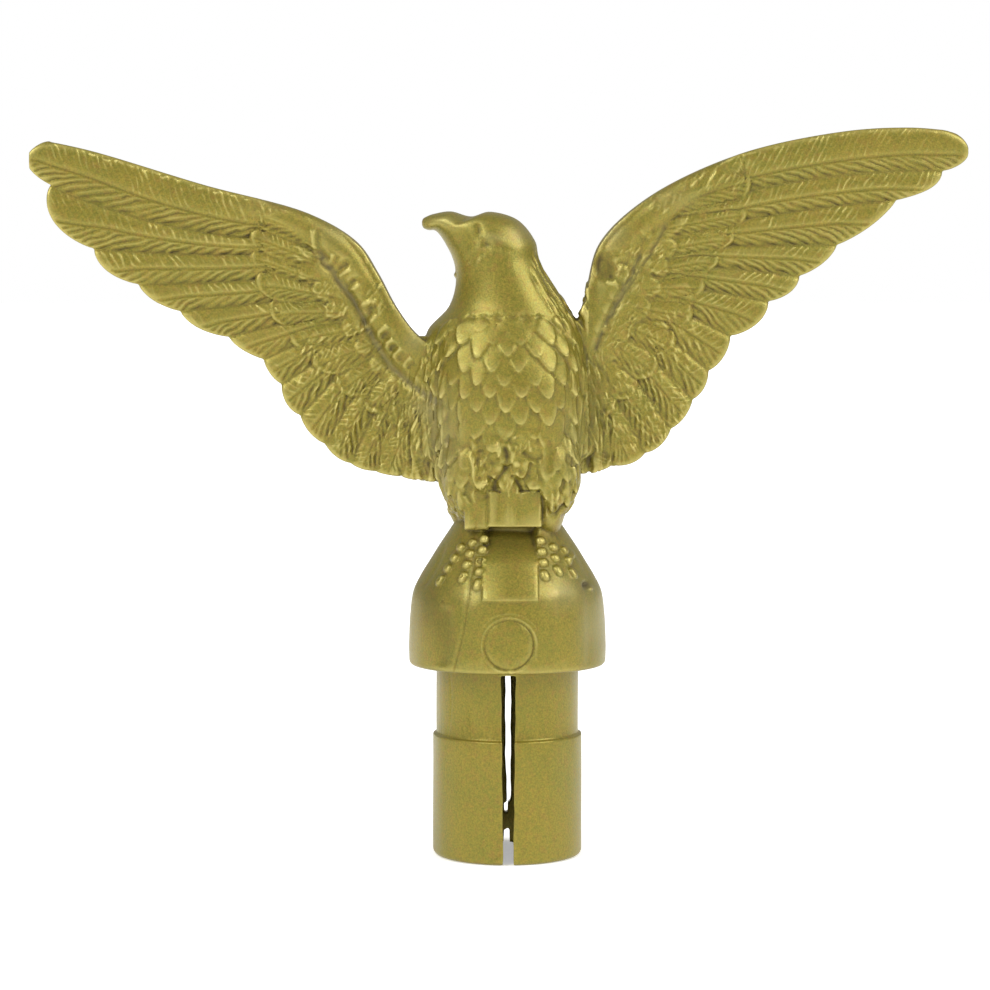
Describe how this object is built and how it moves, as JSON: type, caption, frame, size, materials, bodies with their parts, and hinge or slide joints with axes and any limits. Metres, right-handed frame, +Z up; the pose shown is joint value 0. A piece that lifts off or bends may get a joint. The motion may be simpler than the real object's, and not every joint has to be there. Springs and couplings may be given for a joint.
{
  "type": "eagle flagpole finial",
  "caption": "Moulded gold-coloured plastic eagle with spread wings on a bell base, with a hollow split stem that plugs into the top of a tubular flagpole.",
  "frame": {"origin": "centre of the stem's lower end, on the surface that the finial stands on", "axes": "+Z up along the stem, -Y the way the eagle's breast faces, +X towards the wing on the right of someone who looks at the breast"},
  "size_m": [0.1398, 0.0296, 0.1093],
  "materials": {
    "gold_plastic": "moulded plastic with a metallic gold pigment, satin, with flow lines and darker creases"
  },
  "bodies": {
    "root": {"eagle_finial": "gold_plastic"}
  },
  "joints": []
}
